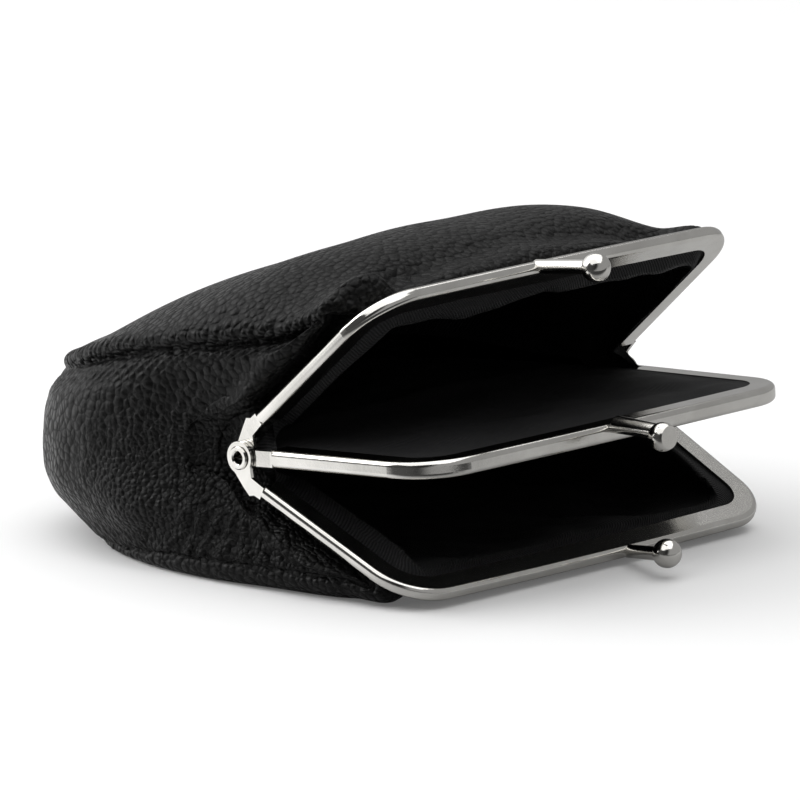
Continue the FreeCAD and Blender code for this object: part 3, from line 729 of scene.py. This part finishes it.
def gussetFront(t):
    # rows that leave the arms of the outer frames, or turn in round the hinge
    d = gusset
    up = t <= d["split"]
    g = np.where(up, t / d["split"], (1 - t) / (1 - d["split"]))
    past = np.clip((g - d["arm"]) / (1 - d["arm"]), 0, 1)
    turnIn = smooth(0, 1, past)
    loose = smooth(0.0, d["letGo"], past)[:, None]
    h = mix(frames["cornerEnd"], d["armTo"], np.clip(g / d["arm"], 0, 1))
    angle = np.radians(np.where(up, mix(d["turnHigh"], 0.0, turnIn), mix(d["turnLow"], 0.0, turnIn)))
    rows = []
    for inset, rise, x, radius in d["front"]:
        upper = onFrame("top", *rim("top", h, inset), rise)
        lower = onFrame("bottom", *rim("bottom", h, inset), -rise)
        held = np.where(up[:, None], upper, lower)
        free = np.stack([np.full_like(t, x), radius * np.cos(angle), radius * np.sin(angle)], -1)
        rows.append(mix(held, free, loose))
    return rows, g


def makeGussetHalf():
    # left half from the frames to the middle of the closed end
    d = gusset
    t = np.linspace(0, 1, d["levels"])
    rows, g = gussetFront(t)
    near, held = rows[-1], len(rows)
    yFar = mix(*d["nearY"], smooth(0, 1, g))
    yNear = mix(near[:, 1], yFar, 0.5)
    for y, share in zip((yNear, yFar), d["nearShares"]):
        seam = np.interp(y, *d["nearHigh"])
        z = mix(seam, np.interp(y, *d["nearLow"]), t)
        f = (z - d["foot"]) / (seam - d["foot"])
        x = -(np.interp(y, *d["nearHalf"]) + gussetOut(f, d["nearTuck"]))
        rows.append(np.stack([x, y, mix(z, near[:, 2], share)], -1))
    rows += [gussetRib(*rib, t) for rib in d["ribs"]]
    # the hide draws in towards the hinge in one wide hollow, and bulges a little below it
    hollow, bulge = d["hollow"], d["bulge"]
    for row in rows[held:]:
        y, z = row[:, 1], row[:, 2]
        rho = np.hypot(y, hollow["flatten"] * z)
        near = np.clip(1 - (rho - hollow["inner"]) / (hollow["reach"] - hollow["inner"]), 0, 1)
        row[:, 0] += hollow["depth"] * near ** hollow["curve"]
        under = np.clip((bulge["from"] - z) / bulge["height"], 0, 1)
        row[:, 0] -= (bulge["out"] * np.sin(math.pi * under) ** 2
                      * smooth(*bulge["front"], y) * smooth(*bulge["back"], y))
    return sweep(rows, d["counts"])


def gussetFolds(p, high, low, along):
    d = gusset
    rings, fan = d["rings"], d["fan"]
    y, z = p[..., 1], p[..., 2]
    rho, psi = np.hypot(y, z), np.arctan2(z, y)        # round the hinge
    sides = y < d["foldsEnd"]
    nearHinge = bell(rho, *rings["at"]) * smooth(2.2, 1.4, np.abs(psi)) * sides
    lift = (rings["height"] * wave(rho - rings["from"], rings["pitch"], rings["wander"] * ripple(p, 26.0, 3))
            * nearHinge)
    # fans of fine pleats run out below the hinge and along the lower arm
    below = smooth(-0.25, -0.9, psi) * smooth(-2.9, -2.3, psi) * smooth(8, 13, rho) * smooth(40, 22, rho)
    lift += fan["height"] * np.sin(psi * fan["pleats"] + fan["wander"] * ripple(p, 15.0, 7)) * below * sides
    wander = d["puckerWander"] * ripple(p, 21.0, 13)
    for pucker, seam in ((d["highPucker"], high), (d["lowPucker"], low)):
        lift += pucker["height"] * wave(along, pucker["pitch"], wander) * bell(seam, *pucker["at"])
    (highDepth, highWidth), (lowDepth, lowWidth) = d["highGroove"], d["lowGroove"]
    lift -= highDepth * smooth(54, 36, y) * bell(high, 0, highWidth) + lowDepth * bell(low, 0, lowWidth)
    calm = smooth(12, 34, rho)
    for height, length, seed, inside in d["slack"]:
        lift += height * ripple(p, length, seed) * smooth(*inside, np.minimum(high, low)) * calm
    return lift


def makeGusset():
    d = gusset
    left = makeGussetHalf()
    right = left[::-1][1:] * np.array([-1.0, 1.0, 1.0])
    p = np.concatenate([left, right], 0)
    middle = (p.shape[0] // 2, p.shape[1] // 2, 1)     # outward is along y at the middle of the closed end
    n = gridNormals(p)
    n *= np.sign(n[middle])
    high = runLength(p, 1)                             # mm from the upper seam
    low = high[:, -1:] - high                          # mm from the lower seam
    along = runLength(p, 0)
    front = np.minimum(along, along[-1:] - along) - 2  # mm from the frames
    lift = gussetFolds(p, high, low, along) * smooth(*d["calmFront"], front)
    p = p + n * lift[..., None]
    p = sewTo(p, 0, upperSeam, d["sewn"])
    p = sewTo(p, -1, lowerSeam, d["sewn"])
    n = gridNormals(p)
    n *= np.sign(n[middle])
    cut = int(round(d["split"] * (d["levels"] - 1)))
    upper = gridMesh("upperGussetHide", p[:, :cut + 1], n[:, :cut + 1])
    lower = gridMesh("lowerGussetHide", p[:, cut:], n[:, cut:])
    return dress(upper, gussetMaterial), dress(lower, gussetMaterial)


upperGussetObj, lowerGussetObj = makeGusset()
followFrame(upperGussetObj)
followFrame(lowerGussetObj)
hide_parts("gusset")
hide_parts("bottom_hem")
print("gusset made")

# pockets of ribbed lining: an outer cloth held by the outer frame and a divider cloth held by the middle frame

pocket = {
    "keys": [0.0, 0.32, 0.46, 0.565, 0.70, 0.85, 1.0, 1.08],  # shares of the way to the hinge, and just past it
    "columns": 241, "counts": [3, 5, 6, 20, 18, 18, 18, 14],
    "held": (3.6, 2.8), "lip": (5.6, 2.5), "flatInset": 6.4, "looseRise": 1.6, "webInset": 9.6, "webPull": 0.3,
    "sway": [(0.5, 9.0, 1.0), (0.35, 23.0, 2.0)],             # height, turns and share of the seed
    "folds": [(0.7, (1.0, 1.0, 1.0), 24.0), (0.35, (1.0, 0.35, 0.7), 9.0)],  # height, stretch and length
}
# for each key, points from the frame to the fold at the bottom of the pocket
upperPocket = {
    "runs": [
        [(0, -14, 33.6), (0, 2, 32.4), (0, 18, 26.6), (0, 36, 19.4), (0, 50, 12), (0, 57, 3)],
        [(-29, -14, 32.8), (-29.5, 2, 31.2), (-30, 18, 25.2), (-30, 34, 18.4), (-29, 47, 11.4), (-27, 53.5, 3)],
        [(-41, -14, 30), (-42, 2, 27.6), (-42.5, 17, 21.8), (-42, 30, 15.8), (-40, 41, 9.8), (-38, 46, 3)],
        [(-46.6, -13, 27), (-47.8, 0, 23.2), (-48.4, 13, 18.4), (-47.8, 25, 13.4), (-46, 34, 8.4), (-43, 38, 2.8)],
        [(-47.6, -11, 22), (-47.8, 0, 17.6), (-47.8, 9, 13.6), (-47.4, 17, 9.8), (-46.4, 22, 6.2), (-45, 24, 2.5)],
        [(-47.4, -5, 14.4), (-47.4, 1.5, 11.4), (-47.4, 6, 9), (-47.2, 10, 6.6), (-46.8, 12, 4.4), (-46.2, 13, 2.3)],
        [(-47.6, -1, 7.4), (-47.6, 1.4, 6.4), (-47.6, 3.2, 5.4), (-47.5, 4.6, 4.3), (-47.3, 5.4, 3.2),
         (-47.1, 5.8, 2.1)],
        [(-51, -5.4, 1.2), (-51, -3, 0.8), (-50.6, 0, 0.4), (-50, 2.4, 0.1), (-49.2, 4.2, -0.2), (-48.4, 5.8, -0.5)],
    ],
    "fold": (7.6, 1.1), "foldFrom": -0.1,
}
lowerPocket = {
    "runs": [
        [(0, -30, -18.6), (0, -14, -21), (0, 10, -21.6), (0, 32, -21.4), (0, 50, -19), (0, 58, -7)],
        [(-29, -30, -18.6), (-29.5, -14, -20.8), (-30, 8, -21.4), (-30, 28, -21.2), (-29, 44, -18.6), (-27, 54, -6.6)],
        [(-41, -29, -18.2), (-43, -14, -19.4), (-44.5, 6, -20), (-44, 22, -19.8), (-42, 35, -17), (-38, 46.5, -6.2)],
        [(-46, -24, -16.2), (-47.6, -10, -16.6), (-48.4, 4, -17), (-48.2, 16, -16.6), (-46.6, 27, -14.2),
         (-43, 38, -5.4)],
        [(-47.4, -17, -13), (-47.8, -6, -13), (-48, 4, -13), (-47.8, 12, -12.4), (-46.8, 19, -10.2), (-45, 24, -4.4)],
        [(-47.6, -8, -9.4), (-47.6, -1, -9.2), (-47.6, 4, -9), (-47.4, 8.6, -8), (-46.9, 11.6, -6.2),
         (-46.2, 13, -3.6)],
        [(-47.6, -2, -6), (-47.6, 0.8, -6), (-47.6, 3, -5.6), (-47.5, 4.6, -4.8), (-47.3, 5.4, -4), (-47.1, 5.8, -3.1)],
        [(-51, -5, -0.6), (-51, -2.6, -0.9), (-50.6, 0, -1.2), (-50, 2.4, -1.4), (-49.2, 4.2, -1.6), (-48.4, 5.8, -2)],
    ],
    "fold": (9.6, 1.3), "foldFrom": 0.42,
}


def makeOuterCloth(name, own, which, seed):
    d = pocket
    s = np.linspace(-d["keys"][-1], d["keys"][-1], d["columns"])
    h = np.abs(s)
    sign = 1.0 if which == "top" else -1.0
    runs = spread(d["keys"], own["runs"], h)
    web = smooth(1.0, d["keys"][-1], h)[:, None]       # past the hinge the cloth leaves the frame
    sway = sum(height * np.sin(turns * s + share * seed) for height, turns, share in d["sway"])
    folded = smooth(own["foldFrom"], own["foldFrom"] + 0.2, h)
    rows = []
    for (inset, rise), loose in ((d["held"], 0.0), (d["lip"], 0.2), (own["fold"], 1.0)):
        inward = mix(np.minimum(inset, d["flatInset"]), inset, folded) + loose * sway * smooth(1.0, 0.8, h)
        x, r = rim(which, np.minimum(h, 1.0), inward)
        high = mix(rise + d["looseRise"] * loose, rise, folded)
        pulled = runs[:, 0] - [0, d["webPull"] * (d["webInset"] - inset), 0]
        rows.append(mix(onFrame(which, x, r, sign * high), pulled, web))
    rows += [runs[:, k] for k in range(runs.shape[1])]
    p = sweep(rows, d["counts"])
    p[..., 0] *= np.where(s > 0, -1.0, 1.0)[None, :]
    n = gridNormals(p)
    front = runLength(p, 0)
    back = front[-1:] - front
    keep = smooth(2, 9, front) * smooth(0, 6, back)
    lift = sum(height * ripple(p * np.array(stretch), length, seed + k)
               for k, (height, stretch, length) in enumerate(d["folds"]))
    p = p + n * (lift * keep)[..., None]
    return dress(gridMesh(name, p), clothMaterial)


dividerCloth = {
    "rows": 131, "columns": 171, "front": 43.8, "back": -58.0,
    "edgeAt": [-58, -55.5, -53, -46, -38, -24, -13, -5.8, 7, 20, 35.5, 38, 40, 41.5, 42.6, 43.8],
    "edge": [1.0, 16, 27, 38, 44, 46.6, 47.4, 48.2, 49.2, 48.6, 47.6, 47.2, 46.2, 44.6, 42.6, 40.0],
    "off": 1.55, "least": 1.3, "puff": 0.55, "broad": (0.45, 30.0), "fine": (0.25, 11.0), "fineStretch": (0.5, 1, 1),
    "ridge": 0.9, "ridgeAt": -6.0, "ridgeSlant": 0.05, "ridgeWidth": 3.5, "backSwell": 1.2, "backFrom": -48,
}


def makeDividerCloth(name, sign, seed):
    # cloth over one face of the divider, from the middle frame to the fold of the pocket
    d = dividerCloth
    r = np.linspace(d["front"], d["back"], d["rows"])
    u = np.linspace(-1, 1, d["columns"])
    x = np.interp(r, d["edgeAt"], d["edge"])[:, None] * u[None, :]
    rr = r[:, None] * np.ones((1, d["columns"]))
    flat = np.stack([x, rr, np.zeros_like(x)], -1)
    inside = smooth(43.0, 36.0, rr) * smooth(1.0, 0.86, np.abs(u))[None, :]
    (broad, broadLength), (fine, fineLength) = d["broad"], d["fine"]
    n = d["off"] + inside * (d["puff"] + broad * ripple(flat, broadLength, seed)
                             + fine * ripple(flat * np.array(d["fineStretch"]), fineLength, seed + 1))
    n += inside * d["ridge"] * bell(rr + d["ridgeSlant"] * x, d["ridgeAt"], d["ridgeWidth"])   # level with the hinge
    n += d["backSwell"] * smooth(d["backFrom"], d["back"], rr)
    p = onFrame("middle", x, rr, sign * np.maximum(n, d["least"]))
    return dress(gridMesh(name, p), clothMaterial)


upperClothObj = makeOuterCloth("upperPocketCloth", upperPocket, "top", 31)
lowerClothObj = makeOuterCloth("lowerPocketCloth", lowerPocket, "bottom", 41)
followFrame(upperClothObj)
followFrame(lowerClothObj)
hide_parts("upper_lining")
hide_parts("lower_lining")
upperDividerObj = makeDividerCloth("upperDividerCloth", 1.0, 51)
lowerDividerObj = makeDividerCloth("lowerDividerCloth", -1.0, 61)
for obj in (upperDividerObj, lowerDividerObj):
    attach(obj, "bag")
print("pockets made")

# twisted paper packing in each channel

packing = {"radius": 0.58, "core": 0.86, "ply": 0.14, "twist": 2.4, "inset": 1.6, "start": 0.9,
           "halfPoints": 160, "sides": 12}


def makePacking(name, which):
    d = packing
    half = d["halfPoints"]
    h = np.concatenate([np.linspace(d["start"], 0, half), np.linspace(0, d["start"], half)[1:]])
    x, r = rim(which, h, d["inset"])
    x = np.where(np.arange(len(h)) >= half, -x, x)
    line = onFrame(which, x, r, frames[which]["lift"])
    tangent = np.gradient(line, axis=0)
    tangent /= np.linalg.norm(tangent, axis=-1, keepdims=True)
    a = math.radians(frames[which]["tilt"])
    up = np.array([0.0, math.sin(a), math.cos(a)])
    side = np.cross(tangent, up)
    run = np.concatenate([[0], np.cumsum(np.linalg.norm(np.diff(line, axis=0), axis=-1))])
    angle = np.linspace(0, 2 * math.pi, d["sides"] + 1)
    turned = angle[None, :] + run[:, None] * 2 * math.pi / d["twist"]
    size = d["radius"] * (d["core"] + d["ply"] * np.abs(np.sin(turned)))
    p = (line[:, None] + size[..., None] * (np.cos(angle)[None, :, None] * side[:, None]
                                            + np.sin(angle)[None, :, None] * up))
    return dress(gridMesh(name, p), paperMaterial)


for which, body, node in (("top", "upper_frame", "top_cord"), ("middle", "bag", "middle_cord"),
                          ("bottom", "lower_frame", "bottom_cord")):
    obj = makePacking(which + "Packing", which)
    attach(obj, body)
    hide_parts(node)
print("packing made")

# floor, light and camera

studio = {
    "right": (0.69, -0.724), "tableFront": 240.0, "tableReach": 3000, "tableCells": 24, "tableGap": 0.02,
    "floorColour": 0.86, "floorRoughness": 0.9, "floorSpecular": 0.1, "floorLift": 0.1, "mirroredLift": 0.3,
    "floorShade": (0.40, 0.95), "shadeSpan": (-0.02, 0.06), "frontShade": 0.03, "frontSpan": (0.055, 0.115),
    "room": [  # direction, strength against it and along it, span of the change
        ((0.69, -0.724, 0.0), 1.2, 0.32, -0.8, 0.1), ((-0.906, -0.01, 0.423), 1.0, 0.05, 0.5, 0.78),
    ],
    "lamps": [  # name, place, size, power
        ("overhead", (-0.14, 0.1, 1.2), (2.5, 2.3), 22.5), ("leftBack", (-0.75, 1.0, 0.65), (1.0, 0.8), 7.0),
    ],
    "lampTarget": (0, 0, 0.02),
}


def makeFloorMaterial():
    # in reflections only, the table's colour is painted darker towards the right and the front: painted shade, as the
    # metal shows it
    d = studio
    material, tree, bsdf = newMaterial("paleTableTop")
    bsdf.inputs["Roughness"].default_value = d["floorRoughness"]
    bsdf.inputs["Specular IOR Level"].default_value = d["floorSpecular"]
    light = tree.nodes.new("ShaderNodeLightPath")
    coord = tree.nodes.new("ShaderNodeTexCoord")
    rightX, rightY = d["right"]
    side = vectorCalc(tree, "DOT_PRODUCT", coord.outputs["Object"], (-rightX, -rightY, 0.0))
    front = vectorCalc(tree, "DOT_PRODUCT", coord.outputs["Object"], (rightY, -rightX, 0.0))
    # painted shade: darker to the right and much darker in front, seen only in reflections
    shade = calc(tree, "MULTIPLY", ramp(tree, side, *d["shadeSpan"], *d["floorShade"]),
                 ramp(tree, front, *d["frontSpan"], 1.0, d["frontShade"]))
    tone = tree.nodes.new("ShaderNodeMix")
    tree.links.new(light.outputs["Is Glossy Ray"], tone.inputs["Factor"])
    tone.inputs["A"].default_value = d["floorColour"]
    tree.links.new(shade, tone.inputs["B"])
    tree.links.new(tone.outputs["Result"], bsdf.inputs["Base Color"])
    seen = calc(tree, "MAXIMUM", light.outputs["Is Camera Ray"],
                calc(tree, "MULTIPLY", light.outputs["Is Glossy Ray"], d["mirroredLift"]))
    glow = place(tree, "ShaderNodeEmission", Color=(1, 1, 1, 1))
    tree.links.new(calc(tree, "MULTIPLY", seen, d["floorLift"]), glow.inputs["Strength"])
    both = tree.nodes.new("ShaderNodeAddShader")
    tree.links.new(bsdf.outputs[0], both.inputs[0])
    tree.links.new(glow.outputs[0], both.inputs[1])
    out = next(x for x in tree.nodes if x.type == "OUTPUT_MATERIAL")
    tree.links.new(both.outputs[0], out.inputs["Surface"])
    return material


def makeFloor():
    # the table ends a little way in front, so the metal that faces the camera reflects the dim room there
    d = studio
    n, reach = d["tableCells"], d["tableReach"]
    rightX, rightY = d["right"]
    across = np.linspace(-reach, reach, n)[:, None]
    depth = np.linspace(-d["tableFront"], reach, n)[None, :]
    p = np.zeros((n, n, 3))
    p[..., 0] = rightX * across - rightY * depth
    p[..., 1] = rightY * across + rightX * depth
    p[..., 2] = -hinge["z"] - d["tableGap"]
    floor = gridMesh("paleTable", p)
    material = makeFloorMaterial()
    dress(floor, material)


def makeWorld():
    # a white room behind the object, dim on the camera's side and towards the right
    world = bpy.data.worlds.new("studioRoom")
    bpy.context.scene.world = world
    world.use_nodes = True
    tree = world.node_tree
    tree.nodes.clear()
    out = tree.nodes.new("ShaderNodeOutputWorld")
    back = tree.nodes.new("ShaderNodeBackground")
    back.inputs["Color"].default_value = (1, 1, 1, 1)
    coord = tree.nodes.new("ShaderNodeTexCoord")
    parts = []
    for direction, low, high, fromLow, fromHigh in studio["room"]:
        dot = vectorCalc(tree, "DOT_PRODUCT", coord.outputs["Generated"], direction)
        parts.append(ramp(tree, dot, fromLow, fromHigh, low, high))
    light = tree.nodes.new("ShaderNodeLightPath")
    room = calc(tree, "MAXIMUM", calc(tree, "MULTIPLY", *parts), light.outputs["Is Camera Ray"])
    tree.links.new(room, back.inputs["Strength"])
    tree.links.new(back.outputs[0], out.inputs["Surface"])


def softbox(name, position, size, power):
    lamp = bpy.data.lights.new(name, "AREA")
    lamp.shape = "RECTANGLE"
    lamp.size, lamp.size_y = size
    lamp.energy = power
    obj = bpy.data.objects.new(name, lamp)
    obj.location = position
    obj.rotation_euler = (Vector(studio["lampTarget"]) - Vector(position)).to_track_quat("-Z", "Y").to_euler()
    bpy.context.scene.collection.objects.link(obj)


# fitted to the photograph by the edges of the frames; millimetres from the hinge, focal length in pixels
photoView = {
    "yaw": -46.38, "back": (-0.70736, -0.67408, 0.21272), "distance": 1700.341, "shiftRight": -7.132, "shiftUp": 2.509,
    "focal": 8888.295, "imageWidth": 800, "sensor": 36.0, "clipEnd": 20,
}


def makeCamera():
    d = photoView
    yaw = math.radians(d["yaw"])
    right = Vector((math.cos(yaw), math.sin(yaw), 0))
    back = Vector(d["back"]).normalized()
    up = back.cross(right)
    spot = back * d["distance"] + right * d["shiftRight"] + up * d["shiftUp"]
    spot = Vector((spot.x, spot.y + hinge["y"], spot.z + hinge["z"])) / 1000
    lens = bpy.data.cameras.new("photoView")
    lens.sensor_width = d["sensor"]
    lens.lens = d["focal"] / d["imageWidth"] * d["sensor"]
    lens.clip_end = d["clipEnd"]
    camera = bpy.data.objects.new("photoView", lens)
    axes = (right, up, back, spot)
    camera.matrix_world = Matrix((*([v[k] for v in axes] for k in range(3)), (0, 0, 0, 1)))
    bpy.context.scene.collection.objects.link(camera)
    bpy.context.scene.camera = camera


makeFloor()
makeWorld()
for lamp in studio["lamps"]:
    softbox(*lamp)
makeCamera()
bpy.context.scene.view_settings.view_transform = "Standard"
print("studio set")
